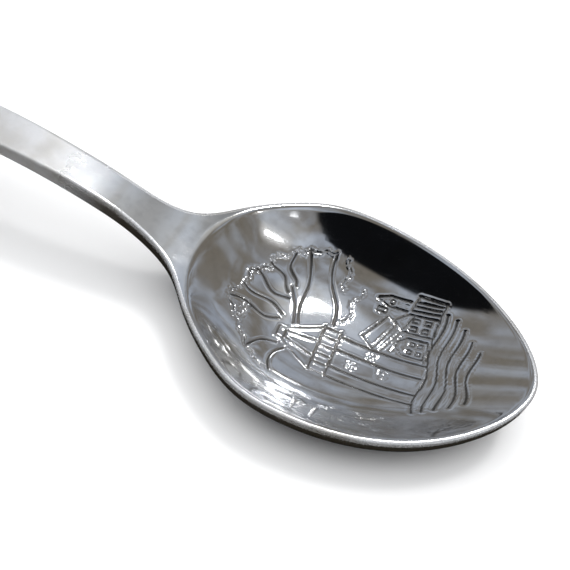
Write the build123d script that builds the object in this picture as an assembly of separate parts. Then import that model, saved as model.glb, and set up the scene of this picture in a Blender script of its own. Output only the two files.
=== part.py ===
from build123d import *
from build123d.topology import SkipClean
import math
import os

import numpy as np

# Souvenir spoon: a die-struck, silver-plated spoon whose stem ends in a round pad with an enamelled
# badge on it. The badge is a beaded cup with a small cloisonne plaque under a clear dome.
#
# Millimetres. +X runs along the spoon towards the tip of the bowl, and +Z is up. The spoon lies on a
# table, bowl up, on the heel of its bowl and the back edge of its pad. The origin is on the table, under
# the middle of the spoon's overall box.

# ---------------------------------------------------------------- driving sizes
OVERALL_LENGTH = 115.0      # tip of the bowl to the far edge of the badge, along the table

BOWL_LENGTH = 39.0          # tip to neck
BOWL_WIDTH = 25.9           # over the outside of the rim
BOWL_DEPTH = 6.2            # rim to floor, inside
FLOOR_THICKNESS = 1.2       # metal under the deepest point
RIM_LAND = 0.6              # flat top of the rim
RIM_FACE = 1.9              # upright outer face of the rim
WALL_CURVE = 1.5            # how fast the wall flattens towards the floor; 1 is a plain paraboloid
NECK_LIFT = 1.2             # how far the bowl's inner surface passes over the stem behind the bowl

NECK_WIDTH = 4.1            # narrowest place of the stem
STEM_END_WIDTH = 8.2        # where the stem runs into the pad
NECK_THICKNESS = 2.5
STEM_THICKNESS = 1.7        # of the stem and of the pad before its back is ground flat
NECK_TAPER = 30.0           # length over which the neck thins to the stem
PAD_DIAMETER = 14.0
PAD_THICKNESS = 1.3
PAD_SLOPE = 13.0            # degrees that the pad leans down towards the end
GRIND_REACH = 22.0          # from the pad's middle to where the flat back surely runs out
CREST_HEIGHT = 14.9         # top of the stem's arch above the table
STRAIGHT_PAST_BADGE = 0.4   # how far the pad's flat top runs on past the badge

HEEL_WEAR = 0.03            # metal worn off the bowl's underside where it rests on the table

BADGE_DIAMETER = 17.4
BADGE_HEIGHT = 2.1          # back of the cup to the top of its wall
CUP_FLOOR = 0.8
CUP_WALL = 1.1
BEAD_COUNT = 44             # beads of the milled border
BEAD_RADIUS = 0.45
FIT_GAP = 0.05              # plaque to cup wall, all round
PLAQUE_THICKNESS = 0.95
ENAMEL_DEPTH = 0.5          # depth of the plaque's cells
CELL_WALL = 0.36            # metal line between two colours
PLAQUE_MARGIN = 0.45        # metal ring outside the colours
DOME_EDGE = 0.15            # thickness of the clear dome at the cup's wall
DOME_RISE = 0.65            # how much higher its crown is

# ---------------------------------------------------------------- plan of the spoon
# Half widths as shares of the bowl's length from the tip and of half its width.
BOWL_PLAN = [(0.024, 0.243), (0.095, 0.506), (0.214, 0.761), (0.357, 0.927), (0.548, 1.0),
             (0.667, 0.954), (0.786, 0.774), (0.881, 0.549), (0.976, 0.282)]
NECK_PLACE = 1.21           # the narrowest place, in bowl lengths from the tip
# Shares of the way from the narrowest place to the pad, and of the stem's widening.
STEM_PLAN = [(0, 0), (0.18, 0.09), (0.40, 0.34), (0.70, 0.69), (1, 1)]

# ---------------------------------------------------------------- side view of the rim and the stem
# Rim: shares of the bowl's length from the tip, and heights over the rim's mean height.
RIM_LINE = [(0, 1.05), (0.29, -0.15), (0.57, 0.15), (0.82, 0.70)]
# Arch: distances behind the neck, and shares of the rise from the rim to the crest.
ARCH_LINE = [(0, 0.24), (5.4, 0.56), (11.5, 0.82), (27.0, 1.0)]
RUN_OUT = (4.0, 1.9)        # how far the rim's line is carried past the tip, and its height there
RUN_OUT_SLOPE = 0.22
# The bowl's surfaces and the stem's blend over this stretch: its start behind the neck and its
# length, in bowl lengths.
NECK_BLEND = (0.06, 0.26)
INNER_REACH = 1.12          # how far from the tip the inner surface runs, in bowl lengths

# ---------------------------------------------------------------- fineness of the worked-out surfaces
OUTLINE_SAMPLES = 900
SIDE_SAMPLES = 1200
HEEL_SAMPLES = 600
BODY_GRID = 100             # points along the underside
BOWL_GRID = 60              # points along the inner surface
ACROSS_GRID = 31
SURFACE_TOLERANCE = 0.004
SURFACE_MARGIN = 2.0        # how far the surfaces run past the metal

# ---------------------------------------------------------------- the plaque's picture
# All as shares of the picture's radius, from its middle.
RIDGE = [(-1.1, 0.34), (-0.45, 0.20), (0.1, 0.25), (0.62, 0.31), (1.1, 0.44)]
PEAKS = [(-0.62, 0.1), (-0.16, 0.52), (0.0, 0.42), (0.30, 0.78), (0.86, 0.1)]
SUN = (-0.52, 0.56)
SUN_RADIUS = 0.13
SHORE = -0.18
PAST_PICTURE = 1.2          # how far the land and the water are carried before they are cut round
SAIL_FOOT = -0.50
MAINSAIL_HEAD = -0.04
MAINSAIL_REACH = 0.40
JIB_HEAD = -0.12
JIB_REACH = -0.33
HULL_DECK = (-0.42, 0.50)
HULL_KEEL = (-0.26, 0.34)
HULL_FOOT = -0.76



def tip_x():
    return OVERALL_LENGTH / 2


def badge_centre():
    """Where the badge's axis meets the top of the pad, as (x, z)."""
    lean = math.radians(PAD_SLOPE)
    reach = BADGE_DIAMETER / 2 * math.cos(lean) + BADGE_HEIGHT * math.sin(lean)
    height = PAD_DIAMETER / 2 * math.sin(lean) + PAD_THICKNESS * math.cos(lean)
    return -OVERALL_LENGTH / 2 + reach, height


def plan_edge():
    """The spoon's edge in plan: up one side of the stem, round the bowl and back down the other."""
    half = BOWL_WIDTH / 2
    pad_x = badge_centre()[0]
    neck_x = tip_x() - NECK_PLACE * BOWL_LENGTH
    flare = (STEM_END_WIDTH - NECK_WIDTH) / 2
    side = [(tip_x() - a * BOWL_LENGTH, b * half) for a, b in BOWL_PLAN]
    side += [(neck_x + (pad_x - neck_x) * a, NECK_WIDTH / 2 + flare * b) for a, b in STEM_PLAN]
    back = [(x, -y) for x, y in reversed(side)]
    return Spline(*back, (tip_x(), 0), *side)


def sampled(edge, start, end, count):
    """Points along an edge, as an array."""
    return np.array([tuple(edge @ t) for t in np.linspace(start, end, count)])


PLAN = plan_edge()
PLAN_POINTS = sampled(PLAN, 0.5, 1, OUTLINE_SAMPLES)


def plan_prism(height):
    """The spoon's outline, bowl, stem and round pad, carried straight up."""
    body = make_face([PLAN, Line(PLAN @ 1, PLAN @ 0)])
    lean = math.cos(math.radians(PAD_SLOPE))
    pad = Location((badge_centre()[0], 0, 0)) * scale(Circle(PAD_DIAMETER / 2), (lean, 1, 1))
    return extrude(body, amount=height) + extrude(pad, amount=height)


def top_edge():
    """The line of the rim and of the stem's top face, seen from the side."""
    bx, bz = badge_centre()
    slope = math.tan(math.radians(PAD_SLOPE))
    rim = BOWL_DEPTH + FLOOR_THICKNESS
    tip = tip_x()
    start = bx + BADGE_DIAMETER / 2 + STRAIGHT_PAST_BADGE
    neck_x = tip - BOWL_LENGTH
    rise = CREST_HEIGHT - rim
    points = [(tip + RUN_OUT[0], 0, rim + RUN_OUT[1])]
    points += [(tip - a * BOWL_LENGTH, 0, rim + b) for a, b in RIM_LINE]
    points += [(neck_x - a, 0, rim + b * rise) for a, b in ARCH_LINE]
    points += [(start, 0, bz + (start - bx) * slope)]
    curve = Spline(*points, tangents=[(-1, 0, -RUN_OUT_SLOPE), (-1, 0, -slope)])
    end_x = bx - BADGE_DIAMETER
    flat = Line(points[-1], (end_x, 0, bz + (end_x - bx) * slope))
    return curve, flat


TOP_CURVE, TOP_FLAT = top_edge()
TOP_POINTS = np.vstack([sampled(TOP_CURVE, 0, 1, SIDE_SAMPLES), sampled(TOP_FLAT, 0, 1, 2)])


def top_at(x):
    return np.interp(x, TOP_POINTS[::-1, 0], TOP_POINTS[::-1, 2])


def ease(t):
    t = np.clip(t, 0, 1)
    return t * t * t * (10 - 15 * t + 6 * t * t)


def bowl_share(x):
    """1 in the bowl, 0 on the stem, and smooth between them at the neck."""
    behind, long = NECK_BLEND
    start = tip_x() - (1 + behind) * BOWL_LENGTH
    return ease((x - start) / (long * BOWL_LENGTH))


def squared_width(x, inset):
    """Square of the outline's half width, taken in by inset, and carried on below 0 past the tip."""
    x = np.asarray(x, float)
    xs, ys = PLAN_POINTS[:, 0], PLAN_POINTS[:, 1]
    dx, dy = np.gradient(xs), np.gradient(ys)
    long = np.hypot(dx, dy)
    in_x, in_y = xs - inset * dy / long, ys + inset * dx / long
    keep = in_y > 0
    in_x, in_y = in_x[keep], in_y[keep]
    end = in_x[0] + in_y[0] ** 2 * (in_x[0] - in_x[1]) / (in_y[1] ** 2 - in_y[0] ** 2)
    in_x, in_y = np.append(end, in_x), np.append(0, in_y)
    fall = (in_y[3] ** 2) / (end - in_x[3])
    inside = np.interp(x, in_x[::-1], in_y[::-1] ** 2)
    return np.where(x > end, fall * (end - x), inside)


def bowl_drop(x, y, inset, depth):
    """How far a bowl surface lies below the rim line: depth in the middle, 0 at the outline's inset."""
    widest = (BOWL_WIDTH / 2 - inset) ** 2
    level = (squared_width(x, inset) - np.asarray(y) ** 2) / widest
    return depth * (1 - np.clip(1 - level, 0, None) ** WALL_CURVE)


def stem_thickness(x):
    neck_x = tip_x() - BOWL_LENGTH
    return NECK_THICKNESS + (STEM_THICKNESS - NECK_THICKNESS) * ease((neck_x - x) / NECK_TAPER)


def inside_height(x, y):
    """The bowl's inner surface; it rises out of the metal at the neck and beyond the rim."""
    share = bowl_share(x)
    return top_at(x) + NECK_LIFT * (1 - share) - share * bowl_drop(x, y, RIM_LAND, BOWL_DEPTH)


def raw_underside(x, y):
    share = bowl_share(x)
    bowl = RIM_FACE + bowl_drop(x, y, 0, BOWL_DEPTH + FLOOR_THICKNESS - RIM_FACE)
    return top_at(x) - share * bowl - (1 - share) * stem_thickness(x)


BOWL_HEEL = float(raw_underside(np.linspace(0, tip_x(), HEEL_SAMPLES), 0).min())


def underside_height(x, y):
    """The underside of the bowl and the stem in one smooth surface, its heel just under the table."""
    return raw_underside(x, y) - bowl_share(x) * (BOWL_HEEL + HEEL_WEAR)


def height_face(height, x_from, x_to, half_width, nx, ny):
    """A smooth face over a rectangle of the table, as high as height(x, y) says."""
    xs = np.linspace(x_from, x_to, nx)
    ys = np.linspace(-half_width, half_width, ny)
    grid_x, grid_y = np.meshgrid(xs, ys, indexing="ij")
    grid_z = height(grid_x, grid_y)
    rows = [[(float(a), float(b), float(c)) for a, b, c in zip(*row)]
            for row in zip(grid_x, grid_y, grid_z)]
    return Face.make_surface_from_array_of_points(rows, tol=SURFACE_TOLERANCE, min_deg=3, max_deg=5)


def above(face):
    """Everything above a face."""
    return extrude(face, amount=CREST_HEIGHT * 4, dir=(0, 0, 1))


def make_spoon_blank():
    """Bowl, neck, stem and pad, struck from one blank of metal."""
    pad_x = badge_centre()[0]
    reach = BOWL_WIDTH / 2 + SURFACE_MARGIN
    end = tip_x() + SURFACE_MARGIN
    under = height_face(underside_height, pad_x - PAD_DIAMETER, end, reach, BODY_GRID, ACROSS_GRID)
    inner_start = tip_x() - INNER_REACH * BOWL_LENGTH
    inner = height_face(inside_height, inner_start, end, reach, BOWL_GRID, ACROSS_GRID)
    side = Location((0, -2 * reach, 0))
    with SkipClean():       # neighbouring curved faces stay separate
        body = plan_prism(CREST_HEIGHT * 2) & above(under)
        for line in (TOP_CURVE, TOP_FLAT):
            body -= above(side * Face.extrude(line, (0, 4 * reach, 0)))
        body -= above(inner)
        body -= pad_grinding()
    return body


def pad_grinding():
    """What is ground off the pad's back to make it flat, running out along the stem."""
    along = BADGE_DIAMETER + GRIND_REACH
    block = Box(BADGE_DIAMETER * 2, along, STEM_THICKNESS * 4, align=(Align.CENTER, Align.MIN, Align.MAX))
    return BADGE_PLANE * Location((0, -GRIND_REACH, -PAD_THICKNESS)) * block


# ---------------------------------------------------------------- badge
BADGE_PLANE = Plane(
    origin=(badge_centre()[0], 0, badge_centre()[1]),
    x_dir=(0, 1, 0),
    z_dir=(-math.sin(math.radians(PAD_SLOPE)), 0, math.cos(math.radians(PAD_SLOPE))),
)
CUP_BORE = BADGE_DIAMETER / 2 - CUP_WALL
PLAQUE_RADIUS = CUP_BORE - FIT_GAP
PICTURE_RADIUS = PLAQUE_RADIUS - PLAQUE_MARGIN
PLAQUE_TOP = CUP_FLOOR + PLAQUE_THICKNESS


def disc(radius, bottom, top):
    """A round plate on the badge's axis, between two heights over the pad."""
    plate = Cylinder(radius, top - bottom, align=(Align.CENTER, Align.CENTER, Align.MIN))
    return BADGE_PLANE * Location((0, 0, bottom)) * plate


def make_badge_cup():
    """Round cup with a beaded rim, which holds the plaque."""
    cup = disc(BADGE_DIAMETER / 2, 0, BADGE_HEIGHT) - disc(CUP_BORE, CUP_FLOOR, BADGE_HEIGHT + 1)
    ring = BADGE_DIAMETER / 2 - CUP_WALL / 2
    for turn in np.linspace(0, 2 * math.pi, BEAD_COUNT, endpoint=False):
        place = Location((ring * math.cos(turn), ring * math.sin(turn), BADGE_HEIGHT))
        cup += BADGE_PLANE * place * Sphere(BEAD_RADIUS)
    return cup


def outline_face(points):
    """A flat shape from its corners."""
    return make_face(Polyline(*points, close=True))


def picture_lines(size):
    """The land under the ridge of the hills, the mountain, and the boat's two sails and hull."""
    ridge = Spline(*[(x * size, y * size) for x, y in RIDGE])
    side = RIDGE[-1][0] * size
    low = -PAST_PICTURE * size
    below = Polyline(ridge @ 1, (side, low), (-side, low), ridge @ 0)
    under_ridge = make_face(ridge.edges() + below.edges())
    mountain = outline_face([(x * size, y * size) for x, y in PEAKS])
    mast = CELL_WALL / 2
    foot = SAIL_FOOT * size
    deck = foot - CELL_WALL
    keel = HULL_FOOT * size
    main_sail = outline_face([(mast, foot), (mast, MAINSAIL_HEAD * size), (MAINSAIL_REACH * size, foot)])
    jib = outline_face([(-mast, foot), (-mast, JIB_HEAD * size), (JIB_REACH * size, foot)])
    hull = outline_face([(HULL_DECK[0] * size, deck), (HULL_DECK[1] * size, deck),
                         (HULL_KEEL[1] * size, keel), (HULL_KEEL[0] * size, keel)])
    return under_ridge, mountain, main_sail, jib, hull


def swollen(face, amount):
    return offset(face, amount, kind=Kind.INTERSECTION)


def picture_areas():
    """The plaque's picture, one face for each colour: a boat on a lake under a mountain."""
    size = PICTURE_RADIUS
    half = CELL_WALL / 2
    under_ridge, mountain, main_sail, jib, hull = picture_lines(size)
    everything = Circle(size)
    water = Location((0, (SHORE - 1) * size, 0)) * Rectangle(2 * PAST_PICTURE * size, 2 * size)
    boat = swollen(main_sail, CELL_WALL) + swollen(jib, CELL_WALL) + swollen(hull, CELL_WALL)
    sun_place = Location((SUN[0] * size, SUN[1] * size, 0))
    sun = SUN_RADIUS * size
    over_ridge = everything - Location((0, half, 0)) * under_ridge
    land = everything & (Location((0, -half, 0)) * under_ridge)
    return {
        "sky": over_ridge - swollen(mountain, CELL_WALL) - sun_place * Circle(sun + CELL_WALL),
        "sun": sun_place * Circle(sun),
        "mountain": mountain & over_ridge,
        "hills": land - Location((0, CELL_WALL, 0)) * water - boat,
        "lake": (everything & water) - boat,
        "mainsail": main_sail,
        "jib": jib,
        "hull": hull,
    }


def make_enamels():
    """One solid of enamel for each colour, filling its cell up to the plaque's face."""
    floor = BADGE_PLANE * Location((0, 0, PLAQUE_TOP - ENAMEL_DEPTH))
    return {"enamel_" + colour: floor * extrude(area, amount=ENAMEL_DEPTH)
            for colour, area in picture_areas().items()}


def make_clear_dome():
    """Clear resin poured over the plaque, up to the cup's wall and crowned in the middle."""
    edge = PLAQUE_TOP + DOME_EDGE
    lens = (CUP_BORE ** 2 + DOME_RISE ** 2) / (2 * DOME_RISE)
    ball = BADGE_PLANE * Location((0, 0, edge + DOME_RISE - lens)) * Sphere(lens)
    return disc(CUP_BORE, PLAQUE_TOP, edge + DOME_RISE) & ball


def make_parts():
    enamels = make_enamels()
    plaque = disc(PLAQUE_RADIUS, CUP_FLOOR, PLAQUE_TOP)
    for fill in enamels.values():
        plaque -= fill
    return {
        "spoon_blank": make_spoon_blank(),
        "badge_cup": make_badge_cup(),
        "badge_plaque": plaque,
        **enamels,
        "clear_dome": make_clear_dome(),
    }


os.makedirs("parts", exist_ok=True)
for name, shape in make_parts().items():
    export_step(shape, os.path.join("parts", name + ".step"))
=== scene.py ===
import math

import bpy
import numpy as np
from mathutils import Matrix, Vector
from bpy.props import FloatProperty, FloatVectorProperty, PointerProperty


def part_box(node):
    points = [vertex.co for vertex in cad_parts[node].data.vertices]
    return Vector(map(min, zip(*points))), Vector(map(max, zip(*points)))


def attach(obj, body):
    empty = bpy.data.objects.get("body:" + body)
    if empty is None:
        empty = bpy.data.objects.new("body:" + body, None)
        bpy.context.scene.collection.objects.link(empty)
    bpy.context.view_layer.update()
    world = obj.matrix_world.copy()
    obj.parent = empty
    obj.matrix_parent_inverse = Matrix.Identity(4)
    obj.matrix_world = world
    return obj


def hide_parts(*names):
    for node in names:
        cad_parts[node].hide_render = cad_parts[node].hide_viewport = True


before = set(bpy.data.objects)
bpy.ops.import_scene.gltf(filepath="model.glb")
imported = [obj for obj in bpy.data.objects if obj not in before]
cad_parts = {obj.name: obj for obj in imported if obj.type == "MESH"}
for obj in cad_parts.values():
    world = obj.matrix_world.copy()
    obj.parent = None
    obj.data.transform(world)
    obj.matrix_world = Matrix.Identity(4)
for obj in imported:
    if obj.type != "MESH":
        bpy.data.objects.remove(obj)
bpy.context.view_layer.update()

# Souvenir spoon: a silver-plated spoon with a lakeside picture struck into its bowl, and a round
# enamelled badge on the end of its stem. The surfaces are worked out in millimetres, in the frame of
# the model, and put into the meshes in metres.

bl_info = {
    "name": "Souvenir Spoon",
    "version": (1, 0, 0),
    "blender": (4, 5, 0),
    "location": "3D View > Sidebar > Spoon",
    "description": "Builds a silver-plated souvenir spoon with a lakeside picture struck into its bowl",
    "category": "Add Mesh",
}

MM = 0.001


def corners(node):
    """Lowest and highest corner of a node, in millimetres."""
    low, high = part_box(node)
    return np.array(low) / MM, np.array(high) / MM


BLANK_LOW, BLANK_HIGH = corners("spoon_blank")
CUP_LOW, CUP_HIGH = corners("badge_cup")

# ---- sizes of the struck blank, mm
TIP = BLANK_HIGH[0]
BOWL_HALF = BLANK_HIGH[1]
BOWL_LENGTH = 39.0
BOWL_DEPTH = 6.2
FLOOR_THICKNESS = 1.2
RIM_LAND = 0.6
RIM_FACE = 1.9
WALL_CURVE = 1.5
NECK_LIFT = 1.2             # keeps the bowl's surface above the stem's face, behind the neck
LAND_ROUND = 0.18           # of the edge between the rim's flat and the bowl
HEEL_WEAR = 0.03
NECK_WIDTH = 4.1
STEM_END_WIDTH = 8.2
NECK_THICKNESS = 2.5
STEM_THICKNESS = 1.7
NECK_TAPER = 30.0
PAD_RADIUS = 7.0
PAD_THICKNESS = 1.3
PAD_SLOPE = math.radians(13.0)
CREST_HEIGHT = 14.9
STRAIGHT_PAST_BADGE = 0.4

BADGE_RADIUS = CUP_HIGH[1]
BADGE_HEIGHT = 2.1
BADGE_X = CUP_LOW[0] + BADGE_RADIUS * math.cos(PAD_SLOPE) + BADGE_HEIGHT * math.sin(PAD_SLOPE)
BADGE_Z = PAD_RADIUS * math.sin(PAD_SLOPE) + PAD_THICKNESS * math.cos(PAD_SLOPE)

# Half widths as shares of the bowl's length from the tip and of half its width.
BOWL_PLAN = [(0.024, 0.243), (0.095, 0.506), (0.214, 0.761), (0.357, 0.927), (0.548, 1.0),
             (0.667, 0.954), (0.786, 0.774), (0.881, 0.549), (0.976, 0.282)]
NECK_PLACE = 1.21
# Shares of the way from the narrowest place to the pad, and of the stem's widening.
STEM_PLAN = [(0, 0), (0.18, 0.09), (0.40, 0.34), (0.70, 0.69), (1, 1)]

# Fingers have dulled the stem from this far behind the tip on, growing over this length. The same zone, and
# the rim, also take a painted highlight: the metal is made partly matt there, so the overhead light whitens
# it.
HANDLED_AND_SHEEN_FROM = 43.0
HANDLED_AND_SHEEN_OVER = 12.0
RIM_WEAR_AND_SHEEN = 0.7              # how dull the rim is beside that, and how much painted highlight it takes
RIM_RINGS = 7               # rings of the mesh, from the rim's flat outwards, that are dulled and take the painted highlight

# ---- fineness of the meshes
STEM_ROWS = 84
BOWL_ROWS = 86
COLUMNS = 48
REFINE = 6                  # small cells to one large cell's side, under the picture
TIP_ARC = 5.2               # half width of the arc that ends the rows, mm


# ---- curves
def smooth_curve(points, count, ends=None):
    """Points on the cubic curve through some points, its parameter the straight way between them.

    The second derivative is continuous. It is 0 at the ends, or else the ends have given directions.
    """
    p = np.array(points, float)
    t = np.concatenate([[0], np.cumsum(np.linalg.norm(np.diff(p, axis=0), axis=1))])
    h = np.diff(t)
    slope = np.diff(p, axis=0) / h[:, None]
    n = len(p)
    left = np.eye(n)
    right = np.zeros_like(p)
    inner = np.arange(1, n - 1)
    left[inner, inner - 1] = h[:-1]
    left[inner, inner] = 2 * (h[:-1] + h[1:])
    left[inner, inner + 1] = h[1:]
    right[1:-1] = 6 * np.diff(slope, axis=0)
    if ends is not None:
        first, last = (np.array(e, float) / np.linalg.norm(e) for e in ends)
        left[0, :2] = 2 * h[0], h[0]
        right[0] = 6 * (slope[0] - first)
        left[-1, -2:] = h[-1], 2 * h[-1]
        right[-1] = 6 * (last - slope[-1])
    bend = np.linalg.solve(left, right)
    at = np.linspace(0, t[-1], count)
    i = np.clip(np.searchsorted(t, at, side="right") - 1, 0, n - 2)
    b = ((at - t[i]) / h[i])[:, None]
    a = 1 - b
    square = (h[i] ** 2)[:, None] / 6
    return a * p[i] + b * p[i + 1] + square * ((a ** 3 - a) * bend[i] + (b ** 3 - b) * bend[i + 1])


def ease(t):
    """0 to 1 with no jump in slope or bend at either end."""
    t = np.clip(t, 0, 1)
    return t * t * t * (10 - 15 * t + 6 * t * t)


def softer_min(a, b, width):
    """The lower of two heights, rounded over a width where they cross."""
    near = np.clip(0.5 + 0.5 * (b - a) / width, 0, 1)
    return b + (a - b) * near - width * near * (1 - near)


# ---- plan of the blank
def half_edge():
    """The bowl's and stem's edge on the +Y side, from the tip to the middle of the pad."""
    neck = TIP - NECK_PLACE * BOWL_LENGTH
    flare = (STEM_END_WIDTH - NECK_WIDTH) / 2
    side = [(TIP - a * BOWL_LENGTH, b * BOWL_HALF) for a, b in BOWL_PLAN]
    side += [(neck + (BADGE_X - neck) * a, NECK_WIDTH / 2 + flare * b) for a, b in STEM_PLAN]
    back = [(x, -y) for x, y in reversed(side)]
    whole = smooth_curve([*back, (TIP, 0), *side], 6001)
    return whole[3000:]


EDGE = half_edge()


def whole_outline(count=4001):
    """The +Y half of the plan from the pad's far end to the tip: places, outward normals, way along."""
    turn = np.linspace(math.pi, 0, 2000)
    pad = np.stack([BADGE_X + PAD_RADIUS * math.cos(PAD_SLOPE) * np.cos(turn), PAD_RADIUS * np.sin(turn)], 1)
    stem = EDGE[::-1]
    stem_half = np.interp(pad[:, 0], stem[:, 0], stem[:, 1], left=0)
    meet = np.argmax((pad[:, 0] > BADGE_X) & (pad[:, 1] < stem_half))
    line = np.vstack([pad[:meet], stem[stem[:, 0] > pad[meet, 0]]])
    way = np.concatenate([[0], np.cumsum(np.linalg.norm(np.diff(line, axis=0), axis=1))])
    at = np.linspace(0, way[-1], count)
    x, y = (np.interp(at, way, line[:, k]) for k in (0, 1))
    dx, dy = np.gradient(x), np.gradient(y)
    long = np.hypot(dx, dy)
    return at, x, y, -dy / long, dx / long


WAY, EDGE_X, EDGE_Y, OUT_X, OUT_Y = whole_outline()


def inset(way, depth):
    """The plan's edge, taken in by a depth, at some ways along it."""
    x = np.interp(way, WAY, EDGE_X) - depth * np.interp(way, WAY, OUT_X)
    y = np.interp(way, WAY, EDGE_Y) - depth * np.interp(way, WAY, OUT_Y)
    return x, np.maximum(y, 0)


def squared_width(x, depth):
    """Square of the bowl's half width, taken in by a depth, and carried on below 0 past the tip."""
    xs, ys = EDGE[:, 0], EDGE[:, 1]
    dx, dy = np.gradient(xs), np.gradient(ys)
    long = np.hypot(dx, dy)
    in_x, in_y = xs - depth * dy / long, ys + depth * dx / long
    keep = in_y > 0
    in_x, in_y = in_x[keep], in_y[keep]
    end = in_x[0] + in_y[0] ** 2 * (in_x[0] - in_x[1]) / (in_y[1] ** 2 - in_y[0] ** 2)
    in_x, in_y = np.append(end, in_x), np.append(0, in_y)
    fall = in_y[8] ** 2 / (end - in_x[8])
    inside = np.interp(x, in_x[::-1], in_y[::-1] ** 2)
    return np.where(x > end, fall * (end - x), inside)


# ---- heights of the blank
def side_view():
    """The line of the rim and of the stem's top face, seen from the side, as rising (x, z)."""
    rim = BOWL_DEPTH + FLOOR_THICKNESS
    slope = math.tan(PAD_SLOPE)
    start = BADGE_X + BADGE_RADIUS + STRAIGHT_PAST_BADGE
    neck = TIP - BOWL_LENGTH
    rise = CREST_HEIGHT - rim
    points = [
        (TIP + 4, rim + 1.9),
        (TIP, rim + 1.05),
        (TIP - 0.29 * BOWL_LENGTH, rim - 0.15),
        (TIP - 0.57 * BOWL_LENGTH, rim + 0.15),
        (TIP - 0.82 * BOWL_LENGTH, rim + 0.7),
        (neck, rim + 0.24 * rise),
        (neck - 5.4, rim + 0.56 * rise),
        (neck - 11.5, rim + 0.82 * rise),
        (neck - 27.0, CREST_HEIGHT),
        (start, BADGE_Z + (start - BADGE_X) * slope),
    ]
    curve = smooth_curve(points, 2400, ends=((-1, -0.22), (-1, -slope)))
    far = BADGE_X - 3 * PAD_RADIUS
    return np.vstack([curve, (far, BADGE_Z + (far - BADGE_X) * slope)])[::-1]


SIDE = side_view()


def top_at(x):
    return np.interp(x, SIDE[:, 0], SIDE[:, 1])


def bowl_share(x):
    """1 in the bowl, 0 on the stem, and smooth between them at the neck."""
    return ease((x - (TIP - 1.06 * BOWL_LENGTH)) / (0.26 * BOWL_LENGTH))


def bowl_drop(x, y, depth_in, depth):
    """How far a bowl surface lies under the rim: depth in the middle, 0 at the edge taken in.

    With q the squared half width less y squared, over its greatest value, the drop is
    depth (1 - (1 - q) ** WALL_CURVE).
    """
    level = (squared_width(x, depth_in) - y ** 2) / (BOWL_HALF - depth_in) ** 2
    return depth * (1 - np.clip(1 - level, 0, None) ** WALL_CURVE)


def top_surface(x, y):
    """Rim, stem and the bowl's inside in one surface, with a soft edge where the bowl begins."""
    share = bowl_share(x)
    inside = top_at(x) + NECK_LIFT * (1 - share) - share * bowl_drop(x, y, RIM_LAND, BOWL_DEPTH)
    return softer_min(top_at(x), inside, LAND_ROUND)


def raw_underside(x, y):
    share = bowl_share(x)
    bowl = RIM_FACE + bowl_drop(x, y, 0, BOWL_DEPTH + FLOOR_THICKNESS - RIM_FACE)
    stem = NECK_THICKNESS + (STEM_THICKNESS - NECK_THICKNESS) * ease((TIP - BOWL_LENGTH - x) / NECK_TAPER)
    return top_at(x) - share * bowl - (1 - share) * stem


BOWL_HEEL = float(raw_underside(np.linspace(0, TIP, 600), 0 * np.linspace(0, 1, 600)).min())


def under_surface(x, y):
    """The underside in one surface: flat at the bowl's heel and on the pad's back."""
    smooth = raw_underside(x, y) - bowl_share(x) * (BOWL_HEEL + HEEL_WEAR)
    back = BADGE_Z - PAD_THICKNESS / math.cos(PAD_SLOPE) + (x - BADGE_X) * math.tan(PAD_SLOPE)
    smooth = np.where(x < BADGE_X + 30, -softer_min(-smooth, -back, 0.1), smooth)
    return np.maximum(smooth, 0)


# ---- the picture in the bowl
# Its own flat frame, mm: p to the right and q up when the spoon hangs by its stem.
PICTURE_X = TIP - 18.6
GROOVE_HALF = 0.19
THIN_LINE = 0.035           # how much less the thin lines are wide, to a side
RAGGED_LINE = 0.09          # the same for the frosted lines
LIP_PLACE = 0.27
PICTURE_EDGE = 1.0          # clear metal kept between the picture and the rim
PICTURE_TOP = 14.6
PICTURE_FOOT = -14.4
PICTURE_HALF = 9.6
FADE = 0.5                  # over which the relief runs out at the picture's edge


def waved(start, end, swing, waves, phase=0.0, count=60):
    """A line from start to end that swings to its sides as a sine."""
    t = np.linspace(0, 1, count)[:, None]
    a, b = np.array(start, float), np.array(end, float)
    across = np.array([a[1] - b[1], b[0] - a[0]]) / np.linalg.norm(b - a)
    return a + (b - a) * t + across * swing * np.sin(2 * math.pi * (waves * t + phase))


def box_line(p, q, width, height):
    return np.array([(p, q), (p + width, q), (p + width, q + height), (p, q + height), (p, q)], float)


def arc_line(centre, radius, start, end, count=24):
    turn = np.radians(np.linspace(start, end, count))[:, None]
    return np.array(centre, float) + radius * np.hstack([np.cos(turn), np.sin(turn)])


def water_lines():
    """Waves across the foot of the picture, shorter and shorter towards the tip."""
    spans = [(-5.3, 6.6), (-4.8, 6.2), (-4.2, 5.3), (-3.6, 4.2), (-2.8, 3.2)]
    return [waved((a, -8.8 - 1.03 * i), (b, -8.5 - 1.05 * i), 0.26, 1.9 - 0.2 * i, 0.16 * i)
            for i, (a, b) in enumerate(spans)]


def tower_lines():
    """A round stone tower that stands in the water, with a gallery, a tent roof and a lantern."""
    lines = [np.array([(-4.6, q), (1.3, q + 0.3)]) for q in (0.8, 2.7)]
    lines += [np.array([(p, 0.9), (p - 0.05, 2.8)]) for p in np.linspace(-4.4, 1.1, 6)]
    hips = ((-1.0, 1.0), (-1.4, -0.9), (-2.2, -2.8), (-2.6, -4.4))
    lines += [np.array([(a, 6.5), (b, 3.0)]) for a, b in hips]
    lines += [box_line(-2.5, 6.5, 1.3, 0.9)]
    return lines


def wall_lines():
    """The tower's long walls, as heavy as the waves."""
    return [np.array([(p, 0.9), (p + 0.2, -8.5)]) for p in (0.7, -0.9, -3.1, -4.4)]


def gable(p, q, width, wall, roof):
    """The front of a house: walls, a pointed gable and two rows of windows."""
    middle = p + width / 2
    lines = [np.array([(p, q), (p, q + wall), (middle, q + wall + roof), (p + width, q + wall),
                       (p + width, q), (p, q)], float)]
    for row in (0.18, 0.58):
        lines += [box_line(p + share * width - 0.2, q + row * wall, 0.4, 0.22 * wall)
                  for share in (0.27, 0.73)]
    return lines


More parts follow.
